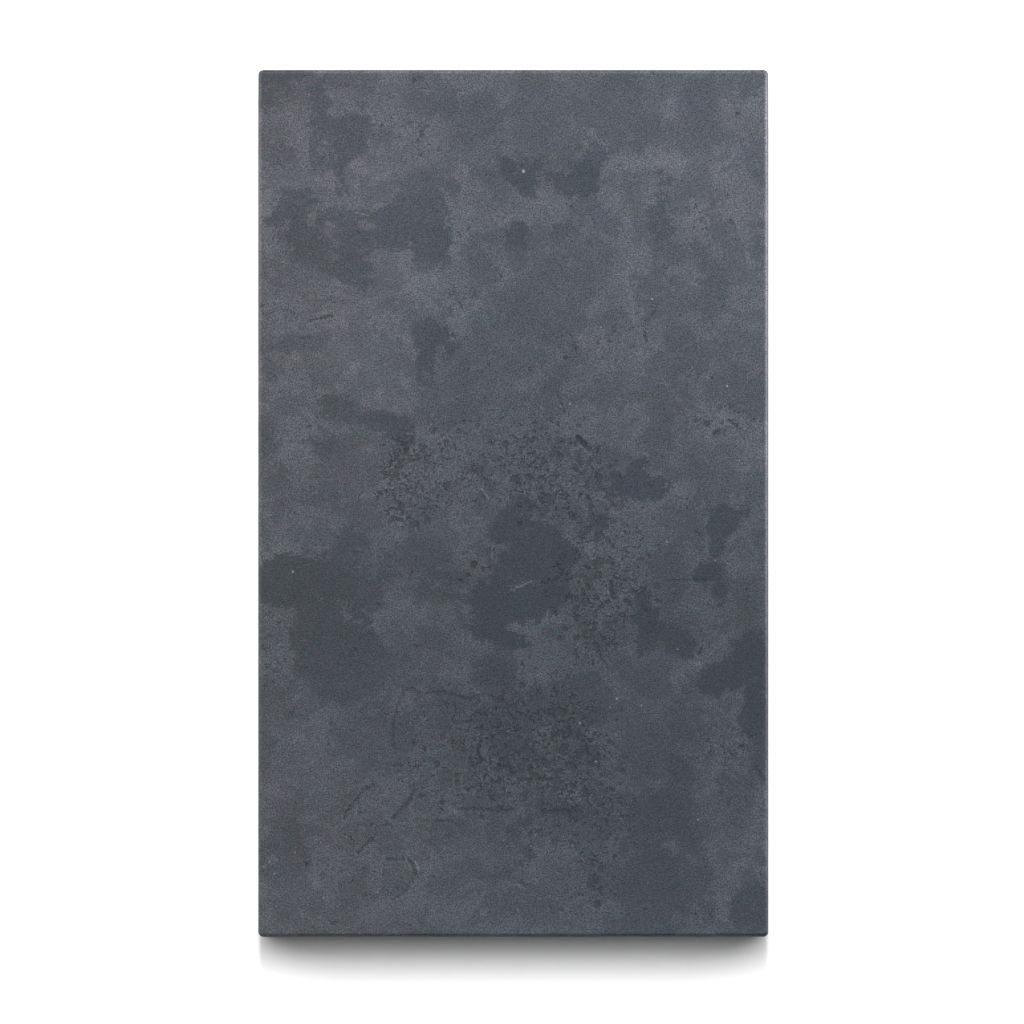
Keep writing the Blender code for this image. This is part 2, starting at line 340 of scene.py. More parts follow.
# Cracks and flake edges, as a width, a strength 0 to 1 and a line of points; then single pits,
# as a centre, a radius and a strength.
cracks = [
    (0.28, 0.55, [(-23.6, -48), (-23.5, -42.5), (-22.6, -38.8), (-21.2, -36.8), (-19.8, -36.2),
                 (-17.6, -37.3)]),
    (0.35, 0.60, [(-17.6, -37.3), (-14, -37), (-9.2, -38.4), (-5.5, -37.4), (-2.5, -38.6), (0, -40.2)]),
    (0.40, 0.80, [(-23.5, -45.2), (-23.5, -43.8)]),
    (0.30, 0.75, [(-27.4, -55.1), (-30, -57.1), (-31, -58.6), (-32.8, -60.4), (-33.2, -62)]),
    (0.60, 0.50, [(-28.6, -55.8), (-30.2, -57.2)]),
    (0.40, 0.75, [(-19.3, -56.1), (-20.9, -58.9), (-23.6, -61.7)]),
    (0.30, 0.60, [(-25, -62.4), (-23.8, -63.4)]),
    (0.28, 0.80, [(-30.6, -68.6), (-28.2, -66.2), (-27.3, -65.4)]),
    (0.30, 0.70, [(-24.8, -69.8), (-20.7, -69.7)]),
    (0.50, 0.80, [(-20.7, -69.7), (-19.8, -71), (-19.1, -72.8)]),
    (0.20, 0.50, [(-19.6, -73.6), (-21, -76), (-24, -78)]),
    (0.22, 0.70, [(-10.8, -60.1), (-8.5, -59.8), (-5, -60)]),
    (0.45, 0.50, [(-5, -60.2), (-2.5, -60.5), (-0.3, -60)]),
    (0.20, 0.50, [(-17, -62.3), (-12, -62.3), (-10.5, -63.5)]),
    (0.40, 1.00, [(-6.4, -46.6), (-7.1, -48.6), (-6.2, -50.6)]),
    (0.60, 0.50, [(-4.3, -52.2), (-2.5, -51.8), (-0.3, -52.2)]),
    (0.25, 0.60, [(-12, -47.3), (-11.6, -49.5)]),
    (0.35, 0.80, [(1.4, -54.2), (6.4, -54), (9.8, -54.6)]),
    (0.30, 0.25, [(9.9, -44), (10.2, -46), (9.8, -49.8)]),
    (0.55, 0.55, [(5.6, -60.6), (9, -60.3), (13.5, -60.6)]),
    (0.30, 0.70, [(3, -46.5), (1, -49)]),
    (0.30, 0.80, [(-40, 35.7), (-37.8, 36.3), (-35.6, 36.8)]),
    (0.30, 0.50, [(-12.2, 43), (-11, 40), (-10, 38)]),
    (0.30, 0.55, [(11.1, 33), (12, 31.2), (12.2, 29.5)]),
    (0.50, 0.70, [(25.6, 33.5), (26, 31.8)]),
    (0.20, 0.45, [(28.2, 39.2), (26.6, 36), (24.3, 34.6)]),
    (1.00, 0.90, [(12.6, 12.6), (13.8, 11.4), (14.8, 10.6)]),
    (0.30, 0.80, [(42.3, 16.2), (44.4, 14.5)]),
    (0.40, 0.80, [(-23.4, 10), (-22.3, 7.6)]),
    (0.45, 0.90, [(-24.4, 5.6), (-22.6, 4.9)]),
    (0.40, 0.80, [(-22, 3.8), (-20.8, 3.4)]),
    (0.30, 0.70, [(-24.6, 3.1), (-23.4, 1.2)]),
    (0.35, 0.70, [(-20, 12.9), (-19.6, 11.6)]),
    (0.45, 0.80, [(-23.2, -3), (-22, -3.2)]),
    (0.45, 0.80, [(-22.7, 0.3), (-21.8, -1.9)]),
    (0.22, 0.50, [(8.3, 22.2), (9.2, 20), (10.3, 17.8)]),
    (0.60, 0.95, [(19, -15.3), (19.4, -18.6)]),
    (0.50, 0.90, [(14.2, -15.9), (14.9, -16.8)]),
    (0.45, 0.90, [(11.8, -21), (12.4, -23.2)]),
    (0.30, 0.80, [(13.6, -17.6), (13.4, -19.2), (14.3, -20)]),
    (0.25, 0.60, [(15.9, -28.5), (18.5, -32)]),
    (0.35, 0.80, [(37.3, -26.4), (36.2, -29.7)]),
    (0.25, 0.45, [(29.8, -15.2), (38, -15)]),
    (0.25, 0.60, [(42.4, -57), (42, -59.2)]),
    (0.25, 0.60, [(47.3, -51.5), (49.3, -54.6)]),
    (0.35, 0.80, [(14.8, -51.8), (16.6, -50.6)]),
]
singlePits = [
    (-7.8, -12.0, 0.70, 1.0), (-6.0, -13.0, 0.32, 0.9), (-8.8, -14.1, 0.36, 0.8), (-10.4, -15.2, 0.30, 0.8),
    (1.2, -4.0, 0.36, 1.0), (15.2, -0.6, 0.50, 0.9), (16.3, 5.6, 0.45, 0.9), (12.6, 9.2, 0.45, 0.7),
    (-1.6, 11.6, 0.60, 0.8), (10.1, 28.6, 0.30, 0.6), (3.2, 26.2, 0.36, 0.6), (36.6, 55.4, 0.36, 0.5),
    (42.6, 55.2, 0.45, 0.5), (35.5, 52.0, 0.50, 0.4), (-5.8, 1.8, 0.50, 0.8), (8.2, -33.2, 0.36, 0.6),
    (9.4, -41.0, 0.80, 0.6), (16.0, -11.6, 0.55, 0.8), (14.0, -10.5, 0.40, 0.7), (16.2, 8.8, 0.50, 0.7),
    (-23.3, -51.5, 0.32, 0.6), (-22.8, -52.6, 0.32, 0.6), (-6.2, -61.5, 0.50, 0.7), (5.2, -43.2, 0.80, 0.6),
    (14.0, -47.6, 0.80, 0.6), (8.5, -54.5, 0.90, 0.6), (16.2, -51.2, 0.80, 0.6), (21.5, -52.6, 0.50, 0.6),
    (16.0, -73.6, 0.70, 0.7), (15.6, -75.6, 0.55, 0.7), (16.4, -78.6, 0.60, 0.7), (9.6, -79.8, 0.30, 0.7),
    (-30.4, 53.4, 0.22, 0.7), (-14.6, 69.4, 0.32, 0.5), (-43.5, -41.3, 0.45, 0.6), (39.6, -10.5, 0.36, 0.6),
    (2.4, -48.2, 0.90, 0.6),
]
# White mineral specks, as a centre, a radius and a strength, and fresh bright chips along lines.
brightSpecks = [
    (2.0, 65.1, 0.34, 0.6), (-43.2, -13.4, 0.22, 0.6), (27.2, 40.1, 0.18, 0.8), (-9.9, 80.3, 0.14, 0.6),
    (-5.0, 76.0, 0.12, 0.6), (30.2, 75.9, 0.14, 0.6), (30.2, 72.5, 0.14, 0.6), (10.2, 75.2, 0.12, 0.5),
    (41.9, 23.0, 0.22, 0.6), (11.1, 19.5, 0.18, 0.6), (17.2, 34.5, 0.20, 0.4), (19.4, 26.8, 0.14, 0.5),
    (4.0, 35.2, 0.12, 0.4), (-1.6, 37.8, 0.12, 0.5), (20.3, -38.3, 0.24, 0.4), (18.9, -39.9, 0.16, 0.4),
    (25.1, -39.6, 0.16, 0.6), (25.0, -4.3, 0.14, 0.5), (30.0, -7.6, 0.14, 0.5), (35.3, -9.7, 0.12, 0.5),
    (32.2, -28.6, 0.14, 0.7), (-47.8, -70.2, 0.26, 0.22), (-46.4, -69.8, 0.22, 0.22),
    (-48.9, -71.2, 0.20, 0.22), (-46.8, -72.6, 0.24, 0.22), (-42.8, -68.4, 0.22, 0.22),
    (-42.6, -67.4, 0.16, 0.22), (13.1, -43.1, 0.22, 0.5), (16.2, -50.6, 0.20, 0.5),
    (26.4, -74.4, 0.12, 0.5), (-26.6, -76.2, 0.18, 0.4), (34.5, 49.9, 0.14, 0.4), (8.5, -13.9, 0.14, 0.4),
    (36.2, -62.0, 0.20, 0.4), (35.4, -62.8, 0.16, 0.4), (-27.6, -23.9, 0.18, 0.3),
    (39.6, -11.2, 0.16, 0.4), (1.0, -33.0, 0.12, 0.4),
]
brightScratches = [
    (0.22, 0.55, [(-6.2, 2.9), (-4.9, 0.9)]), (0.20, 0.15, [(-4.0, -8.0), (-4.3, -11.8)]),
    (0.20, 0.12, [(-3.2, -8.2), (-3.3, -12.0)]), (0.25, 0.35, [(-19.2, -70.2), (-18.5, -71.8)]),
    (0.20, 0.18, [(0.6, -16.6), (2.0, -16.0), (3.6, -15.2)]), (0.20, 0.25, [(12.7, 11.9), (15.0, 9.6)]),
    (0.20, 0.30, [(-31.0, 57.0), (-28.2, 56.4)]),
]


# What the wear does to the slab. Lengths are in mm, and a pair is where a soft step starts and is full.
relief = {
    # depths below the rough skin, which stays at the slab's own height
    "patchDip": 0.05,
    "crackDepth": 0.09,
    "pitDepth": 0.08,
    "grainHeight": 0.012,
    "rimFade": (0.8, 2.3),          # in from the outline, where the relief starts
    # each noise's periods per mm, its octaves, and the offset that picks its stretch
    "noises": {
        "bays": (1 / 8.0, 3, 6.6),      # the large bends along the edge of a patch
        "crumble": (1 / 1.9, 4, 1.9),   # the small ones
        "soft": (1 / 14.0, 2, 187.8),   # where the edge is crisp and where it fades out
        "pits": (1 / 1.3, 3, 7.1),
        "grain": (1.1, 2, 5.3),
        "fray": (1.3, 2, 9.4),
        "clouds": (0.055, 4, 3.7),      # patches on the sides and the underside
        "hollows": (0.04, 3, 11.2),     # pitted areas there
    },
    "bayReach": 0.9,
    "crumbleReach": 1.4,
    "softStep": (0.0, 0.32),
    "softening": 1.3,               # how much wider a soft edge is
    "patchStep": (-0.2, 0.5),
    "rimLight": 0.08,               # the skin is a little paler along a crisp edge,
    "rimPlace": (0.9, 0.7),         # this far outside it, and this wide
    "pitsInSkin": 0.42,             # how much rarer pits are where the skin is whole
    "pitsInPatch": 0.25,            # and on a smooth patch
    "pitStep": (0.18, 0.45),
    "crackStep": (-0.12, 0.25),
    "crackFray": 0.45,
    # down past the arris the stone's own clouds take over from the patches placed above
    "sideStart": (1.5, 9.0),
    "sideEdge": (14, -2.0),         # a patch's edge there, from the clouds: times this, plus this
    "sideDepth": (0.2, 0.70),       # its depth of colour, in the same way
    "sidePitted": 1.6,
}

# The eased edges are rubbed smoother by handling. The inner and the outer half of each are a little paler
# (above 0) or darker (below 0) than the face: painted highlight where the lamps at the right, the left and
# the far end catch an edge, painted shade on its steep outer half and all along the near edge, which faces
# away from the light.
arrisGlossAndPaintedLight = {
    # painted highlight and painted shade, on the inner half and then the outer half of each upper edge
    "paintedTones": {"right": (0.80, -0.60), "left": (0.30, -0.35), "far": (0.40, -0.10), "near": (-0.30, -0.78)},
    "heights": (0.01, 0.9),         # how far below the face they lie
    "fromOutline": (-0.82, -0.70),  # in plan
    "outerHalf": (0.12, 0.50),
    "longSides": (0.55, 0.009),     # how strong the inner painted highlight is at mid length, and more per mm towards +Y, the end where the lamps stand
    "glossStart": (0.0, 0.06),
    "glossEnd": (0.20, 0.50),
}


def ovalReach(x, y, oval):
    # 1 at the oval's edge, 0 at its centre
    turn = math.radians(oval[4])
    dx = x - oval[0]
    dy = y - oval[1]
    u = dx * math.cos(turn) + dy * math.sin(turn)
    v = dy * math.cos(turn) - dx * math.sin(turn)
    return np.sqrt((u / oval[2]) ** 2 + (v / oval[3]) ** 2)


def patchFields(x, y, ovals, soften=0.45):
    # how far inside the joined ovals a point is, and the depth of colour there;
    # the ovals run together over soften, and their depths over depthBlend
    depthBlend = 0.7
    total = np.full(x.shape, 1e-9)
    depth = np.zeros(x.shape)
    weight = np.full(x.shape, 1e-9)
    for oval in ovals:
        inside = (1 - ovalReach(x, y, oval)) * min(oval[2], oval[3])
        inside = np.clip(inside, -8, 4)
        total += np.exp(inside / soften)
        if len(oval) > 5:
            share = np.exp(inside / depthBlend)
            depth += share * oval[5]
            weight += share
    return soften * np.log(total), depth / weight


def softSum(x, y, ovals):
    # each oval fades to half its strength at its edge
    total = np.zeros(x.shape)
    for oval in ovals:
        total += oval[5] * np.exp(-0.7 * ovalReach(x, y, oval) ** 2)
    return total


def smoothStep(low, high, value):
    share = np.clip((value - low) / (high - low), 0, 1)
    return share * share * (3 - 2 * share)


def softMost(x, y, ovals):
    # the strongest oval at each point, full inside and gone a third past its edge
    most = np.zeros(x.shape)
    for oval in ovals:
        most = np.maximum(most, oval[5] * smoothStep(-1.35, -0.65, -ovalReach(x, y, oval)))
    return most


def lineGap(x, y, lines, points):
    # distance to the edge of the nearest line or spot, negative inside it, and its strength
    strengthBlend = 0.25
    gap = np.full(x.shape, 3.0)
    strength = np.zeros(x.shape)
    weight = np.full(x.shape, 1e-9)
    found = []
    for width, force, path in lines:
        for (ax, ay), (bx, by) in zip(path, path[1:]):
            length2 = (bx - ax) ** 2 + (by - ay) ** 2
            along = np.clip(((x - ax) * (bx - ax) + (y - ay) * (by - ay)) / length2, 0, 1)
            distance = np.hypot(x - ax - along * (bx - ax), y - ay - along * (by - ay))
            found.append((distance - width / 2, force))
    for px, py, radius, force in points:
        found.append((np.hypot(x - px, y - py) - radius, force))
    for one, force in found:
        gap = np.minimum(gap, one)
        share = np.exp(-np.clip(one, -1, 6) / strengthBlend)
        strength += share * force
        weight += share
    return gap, strength / weight


def noiseAt(points, name):
    # fractal noise on points in mm
    scale, octaves, offset = relief["noises"][name]
    shift = Vector((offset, -2 * offset, 3 * offset))
    return np.array([
        noise.fractal(Vector(p) * scale + shift, 1.0, 2.1, octaves, noise_basis="PERLIN_ORIGINAL")
        for p in points
    ])


def refineAlongMarks(bm):
    # one more halving of the net where a crack, pit or speck is narrower than a cell
    nearMark = 0.35
    faces = [f for f in bm.faces if f.normal.z > 0.999 and f.calc_center_median().z > stoneHigh.z - 1e-6]
    centres = np.array([f.calc_center_median() for f in faces]) / mm
    gap = np.minimum(
        lineGap(centres[:, 0], centres[:, 1], cracks, singlePits)[0],
        lineGap(centres[:, 0], centres[:, 1], brightScratches, brightSpecks)[0],
    )
    halveEdges(bm, [f for f, g in zip(faces, gap) if g < nearMark], 0.3 * mm)


def stoneFields(spots, below):
    # what the wear is at each point, and the painted highlight and shade along the upper edges, with the
    # points and how far they are below the face in mm
    x, y = spots[:, 0], spots[:, 1]
    patchEdge, patchDepth = patchFields(x, y, darkPatches)
    islands, _ = patchFields(x, y, roughIslands, soften=0.3)
    patchEdge = np.minimum(patchEdge, -islands)
    wash = softSum(x, y, washes)
    pitted = softMost(x, y, pittedZones)
    markGap, markForce = lineGap(x, y, cracks, singlePits)
    speckGap, speckForce = lineGap(x, y, brightScratches, brightSpecks)

    # the sides and the underside
    share = smoothStep(*relief["sideStart"], below)
    clouds = noiseAt(spots, "clouds")
    edgeTimes, edgePlus = relief["sideEdge"]
    depthTimes, depthPlus = relief["sideDepth"]
    sidePitted = np.clip(noiseAt(spots, "hollows") * relief["sidePitted"], 0, 1)
    patchEdge = patchEdge * (1 - share) + (clouds * edgeTimes + edgePlus) * share
    patchDepth = patchDepth * (1 - share) + (depthPlus + depthTimes * np.clip(clouds, -1, 1)) * share
    pitted = pitted * (1 - share) + sidePitted * share
    wash = wash * (1 - share)
    offTop = below > arrisGlossAndPaintedLight["heights"][1]
    markGap[offTop] = np.maximum(markGap[offTop], 1.0)
    speckGap[offTop] = np.maximum(speckGap[offTop], 1.0)

    # edges that bend and crumble, and pits where the skin has opened
    patchEdge += relief["bayReach"] * noiseAt(spots, "bays")
    patchEdge += relief["crumbleReach"] * noiseAt(spots, "crumble")
    soft = smoothStep(*relief["softStep"], noiseAt(spots, "soft"))
    out, width = relief["rimPlace"]
    wash += relief["rimLight"] * np.exp(-((patchEdge + out) / width) ** 2) * (1 - soft) * patchDepth
    patchEdge /= 1 + relief["softening"] * soft
    smooth = smoothStep(*relief["patchStep"], patchEdge) * patchDepth
    pit = noiseAt(spots, "pits") + relief["pitsInSkin"] * (pitted - 1) - relief["pitsInPatch"] * smooth

    fields = {
        "patchEdge": patchEdge,
        "patchDepth": patchDepth,
        # the wash also carries the painted highlight and painted shade along the upper edges
        "wash": wash + arrisPaintedLight(x, y, below),
        "pitted": pitted,
        "pit": pit,
        "markGap": np.clip(markGap, -1, 2),
        "markForce": markForce,
        "speckGap": np.clip(speckGap, -1, 2),
        "speckForce": speckForce,
        "arris": arrisGloss(below),
    }
    return fields, smooth


def arrisPaintedLight(x, y, below):
    # painted highlight and painted shade along the four upper eased edges, as a change of lightness; on the
    # long sides the inner highlight grows towards the far end, where the lamps stand
    low, high = arrisGlossAndPaintedLight["heights"]
    outer = smoothStep(*arrisGlossAndPaintedLight["outerHalf"], below)
    atMiddle, perMm = arrisGlossAndPaintedLight["longSides"]
    towardsFarEnd = atMiddle + perMm * y
    edges = {
        "right": (x - halfWidth / mm, towardsFarEnd),
        "left": (-x - halfWidth / mm, towardsFarEnd),
        "far": (y - halfLength / mm, 1.0),
        "near": (-y - halfLength / mm, 1.0),
    }
    tone = np.zeros(x.shape)
    for name, (past, strength) in edges.items():
        inside, outside = arrisGlossAndPaintedLight["paintedTones"][name]
        here = smoothStep(*arrisGlossAndPaintedLight["fromOutline"], past) * (low < below) * (below < high)
        tone += (inside * strength * (1 - outer) + outside * outer) * here
    return tone


def arrisGloss(below):
    fromFace = np.minimum(below, (stoneHigh.z - stoneLow.z) / mm - below)
    starts = smoothStep(*arrisGlossAndPaintedLight["glossStart"], fromFace)
    return starts * (1 - smoothStep(*arrisGlossAndPaintedLight["glossEnd"], fromFace))


def wearFacesAndPaintEdgeLight(mesh):
    flat = np.empty(len(mesh.vertices) * 3)
    mesh.vertices.foreach_get("co", flat)
    co = flat.reshape(-1, 3)
    spots = co / mm
    below = (stoneHigh.z - co[:, 2]) / mm
    fields, smooth = stoneFields(spots, below)

    # the relief goes down from the level of the rough skin, so the slab keeps its size
    top = np.nonzero(below < 1e-3)[0]
    x, y = spots[top, 0], spots[top, 1]
    grain = noiseAt(spots[top], "grain")
    gap = fields["markGap"][top] + relief["crackFray"] * noiseAt(spots[top], "fray")
    crack = (1 - smoothStep(*relief["crackStep"], gap)) * fields["markForce"][top]
    fromRim = np.minimum(halfWidth / mm - np.abs(x), halfLength / mm - np.abs(y))
    drop = relief["patchDip"] * smooth[top] + relief["crackDepth"] * crack
    drop += relief["pitDepth"] * smoothStep(*relief["pitStep"], fields["pit"][top])
    drop += relief["grainHeight"] * np.clip(0.5 + grain, 0, 1) * (1 - smooth[top])
    co[top, 2] -= drop * smoothStep(*relief["rimFade"], fromRim) * mm
    mesh.vertices.foreach_set("co", co.ravel())

    for name, values in fields.items():
        attribute = mesh.attributes.new(name, "FLOAT", "POINT")
        attribute.data.foreach_set("value", values.astype(np.float32))
    return list(fields)


bm = makeSlabNet()
bm.normal_update()
refineAlongMarks(bm)
slabMesh = bpy.data.meshes.new("honed_slab")
bm.to_mesh(slabMesh)
print("slab net made:", len(bm.verts), "points,", sum(len(f.verts) - 2 for f in bm.faces), "triangles")
bm.free()
wearAndPaintedLightFields = wearFacesAndPaintEdgeLight(slabMesh)
slabMesh.shade_smooth()
slab = bpy.data.objects.new("honed_slab", slabMesh)
bpy.context.scene.collection.objects.link(slab)
print("slab worn")


# Honed basalt: a dense dark stone ground flat but not polished. Dull, with a faint sheen on its
# smooth patches, and a fine sparkle of lighter and darker grains on the rough skin.
basalt = {
    "skinWarm": "#575a61",      # towards the left edge
    "skinCool": "#545962",      # towards the right edge
    "patchWarm": "#3c4148",
    "patchCool": "#323d48",
    "pitColour": "#22262a",
    "speckColour": "#b4b6b9",
    "ior": 1.55,
    "skinRoughness": 0.82,
    "patchRoughness": 0.72,
    "arrisRoughness": 0.48,
    # each pattern's period in mm, its octaves, how strong the finer ones are, and its swirl;
    # basalt's grains are 0.1 to 0.5 mm, and the finest of them are drawn at 0.26 mm so that they show
    "patterns": {
        "grain": (0.26, 1.0, 0.5, 0.0),
        "clots": (0.8, 2.0, 0.6, 0.3),
        "flecks": (1.9, 4.0, 0.65, 0.4),
        "mottle": (7.0, 6.0, 0.6, 0.0),
        "haze": (24.0, 3.0, 0.5, 0.5),
        "lichen": (8.5, 8.0, 0.68, 0.4),
        "crackle": (2.6, 3.0, 0.6, 0.8),
        "worms": (1.15, 4.0, 0.62, 1.2),
        "fray": (0.7, 3.0, 0.6, 0.0),
    },
    # each mark's soft step, in mm from its edge or in the value of its pattern
    "steps": {
        "patch": {"From Min": -0.28, "From Max": 0.36},
        "lichen": {"From Min": 0.495, "From Max": 0.53, "To Max": 0.42},
        "pit": {"From Min": 0.18, "From Max": 0.38},
        "worm": {"From Min": 0.565, "From Max": 0.635},
        "mark": {"From Min": -0.05, "From Max": 0.18, "To Min": 1.0, "To Max": 0.0},
        "crackle": {"From Min": 0.0, "From Max": 0.035, "To Min": 1.0, "To Max": 0.0},
        "speck": {"From Min": -0.08, "From Max": 0.10, "To Min": 1.0, "To Max": 0.0},
    },
    "crumbledBy": {"clots": 3.4, "flecks": 4.2},  # mm that a pattern moves the edge of a patch
    "pitFray": 0.5,
    "markFray": 1.3,
    "wormsInPitted": 0.105,     # how much rarer they are where the skin is whole
    "wormClusters": 0.26,
    "crackleSpread": {"From Min": 0.42, "From Max": 0.58},
    # the place across the width, in mm, over which warm turns to cool, and how far the haze moves it
    "coolRange": {"From Min": -42.0, "From Max": 4.0},
    "coolHaze": 30.0,
    # how far each pattern swings the lightness, on the rough skin and on the smooth patches
    "swings": {"clots": (0.64, 0.22), "flecks": (0.60, 0.20), "mottle": (0.70, 0.35), "haze": (0.50, 0.40)},
    "pittedSwings": {"crackle": -0.30, "lumps": 0.55},
    "washLean": (0.18, -0.02, -0.06),  # red, green, blue: darker stone is also greener and bluer
    "grainSwing": (3.3, 2.8, 3.0),     # dark grains lean to green, light ones to mauve
    "grainInPatch": 0.78,
    # how far each grain has a tint of its own: everywhere, more on the patches, less where it is pale
    "tints": (0.98, 0.90, -1.30),
    "tintPeriod": 0.22,
    # how dark each mark is, and how much of it is the colour of a pit
    "darkShares": {"pit": 0.55, "worm": 0.80, "mark": 0.85},
    "pitColourShare": 0.8,
    "fineRelief": {"grain": 0.03, "patch": -0.012, "dark": -0.13},  # mm, too fine for the net
}


def honedBasalt():
    material = bpy.data.materials.new("basalt, honed")
    material.use_nodes = True
    tree = material.node_tree
    tree.nodes.clear()
    place = addNode(tree, "ShaderNodeTexCoord", give="Object")
    inMm = addNode(tree, "ShaderNodeVectorMath", {"operation": "SCALE", "Scale": 1 / mm}, {0: place})
    field = {
        name: addNode(tree, "ShaderNodeAttribute", {"attribute_name": name}, give="Fac")
        for name in wearAndPaintedLightFields
    }
    pattern = {}
    for name, (period, octaves, finer, swirl) in basalt["patterns"].items():
        pattern[name] = addNode(
            tree, "ShaderNodeTexNoise",
            {"Scale": 1 / period, "Detail": octaves, "Roughness": finer, "Distortion": swirl},
            {"Vector": inMm})
    centred = {
        name: addNode(tree, "ShaderNodeMath", {"operation": "SUBTRACT", 1: 0.5}, {0: source})
        for name, source in pattern.items()
    }
    step = {
        name: {"interpolation_type": "SMOOTHSTEP", **reach}
        for name, reach in basalt["steps"].items()
    }

    # smooth patches with finely crumbled edges
    edge = field["patchEdge"]
    for name, reach in basalt["crumbledBy"].items():
        edge = addNode(tree, "ShaderNodeMath", {"operation": "MULTIPLY_ADD", 1: reach},
                       {0: centred[name], 2: edge})
    patch = addNode(tree, "ShaderNodeMapRange", step["patch"], {"Value": edge})
    patch = addNode(tree, "ShaderNodeMath", {"operation": "MULTIPLY"}, {0: patch, 1: field["patchDepth"]})
    # between them the skin itself is fainter and paler in turns, with the same crumbled edges
    lichen = addNode(tree, "ShaderNodeMapRange", step["lichen"], {"Value": pattern["lichen"]})
    patch = addNode(tree, "ShaderNodeMath", {"operation": "MAXIMUM"}, {0: patch, 1: lichen})

    # pits, and worm-shaped ones in clusters where the skin has opened
    pit = addNode(tree, "ShaderNodeMath", {"operation": "MULTIPLY_ADD", 1: basalt["pitFray"]},
                  {0: centred["fray"], 2: field["pit"]})
    pit = addNode(tree, "ShaderNodeMapRange", step["pit"], {"Value": pit})
    rarer = basalt["wormsInPitted"]
    worm = addNode(tree, "ShaderNodeMath", {"operation": "MULTIPLY_ADD", 1: rarer, 2: -rarer},
                   {0: field["pitted"]})
    worm = addNode(tree, "ShaderNodeMath", {"operation": "ADD"}, {0: worm, 1: pattern["worms"]})
    worm = addNode(tree, "ShaderNodeMath", {"operation": "MULTIPLY_ADD", 1: basalt["wormClusters"]},
                   {0: centred["mottle"], 2: worm})
    worm = addNode(tree, "ShaderNodeMapRange", step["worm"], {"Value": worm})

    # cracks and single pits, the crackle between them, and pale specks
    mark = addNode(tree, "ShaderNodeMath", {"operation": "MULTIPLY_ADD", 1: basalt["markFray"]},
                   {0: centred["fray"], 2: field["markGap"]})
    mark = addNode(tree, "ShaderNodeMapRange", step["mark"], {"Value": mark})
    mark = addNode(tree, "ShaderNodeMath", {"operation": "MULTIPLY"}, {0: mark, 1: field["markForce"]})
    crackle = addNode(tree, "ShaderNodeMath", {"operation": "ABSOLUTE"}, {0: centred["crackle"]})
    crackle = addNode(tree, "ShaderNodeMapRange", step["crackle"], {"Value": crackle})
    spread = addNode(tree, "ShaderNodeMapRange", basalt["crackleSpread"], {"Value": pattern["flecks"]})
    for share in (spread, field["pitted"]):
        crackle = addNode(tree, "ShaderNodeMath", {"operation": "MULTIPLY"}, {0: crackle, 1: share})
    speck = addNode(tree, "ShaderNodeMapRange", step["speck"], {"Value": field["speckGap"]})
    speck = addNode(tree, "ShaderNodeMath", {"operation": "MULTIPLY"}, {0: speck, 1: field["speckForce"]})

    # warm grey at the left, blue grey at the right
    across = addNode(tree, "ShaderNodeSeparateXYZ", None, {0: inMm}, give="X")
    across = addNode(tree, "ShaderNodeMath", {"operation": "MULTIPLY_ADD", 1: basalt["coolHaze"]},
                     {0: centred["haze"], 2: across})
    across = addNode(tree, "ShaderNodeMapRange", basalt["coolRange"], {"Value": across})
    shade = {}
    for name in ("skin", "patch"):
        warm = linearColour(basalt[name + "Warm"])
        cool = linearColour(basalt[name + "Cool"])
        shade[name] = addNode(tree, "ShaderNodeMix", {"data_type": "RGBA", 6: warm, 7: cool},
                              {0: across}, give=2)
    base = addNode(tree, "ShaderNodeMix", {"data_type": "RGBA"},
                   {0: patch, 6: shade["skin"], 7: shade["patch"]}, give=2)

    # lightness
    # the wash brings the painted highlight and painted shade of the upper edges into the lightness
    lightness = addNode(tree, "ShaderNodeMath", {"operation": "ADD", 1: 1.0}, {0: field["wash"]})
    factors = []
    for name, (onSkin, onPatch) in basalt["swings"].items():
        swing = addNode(tree, "ShaderNodeMapRange", {"To Min": onSkin, "To Max": onPatch}, {"Value": patch})
        factors.append(addNode(tree, "ShaderNodeMath", {"operation": "MULTIPLY_ADD", 2: 1.0},
                               {0: centred[name], 1: swing}))
    # the pitted skin is lumpier, and crackled
    lumps = addNode(tree, "ShaderNodeMath", {"operation": "MULTIPLY"},
                    {0: centred["clots"], 1: field["pitted"]})
    for name, source in (("crackle", crackle), ("lumps", lumps)):
        swing = basalt["pittedSwings"][name]
        factors.append(addNode(tree, "ShaderNodeMath", {"operation": "MULTIPLY_ADD", 1: swing, 2: 1.0},
                               {0: source}))
    for factor in factors:
        lightness = addNode(tree, "ShaderNodeMath", {"operation": "MULTIPLY"}, {0: lightness, 1: factor})
    base = addNode(tree, "ShaderNodeVectorMath", {"operation": "SCALE"}, {0: base, "Scale": lightness})

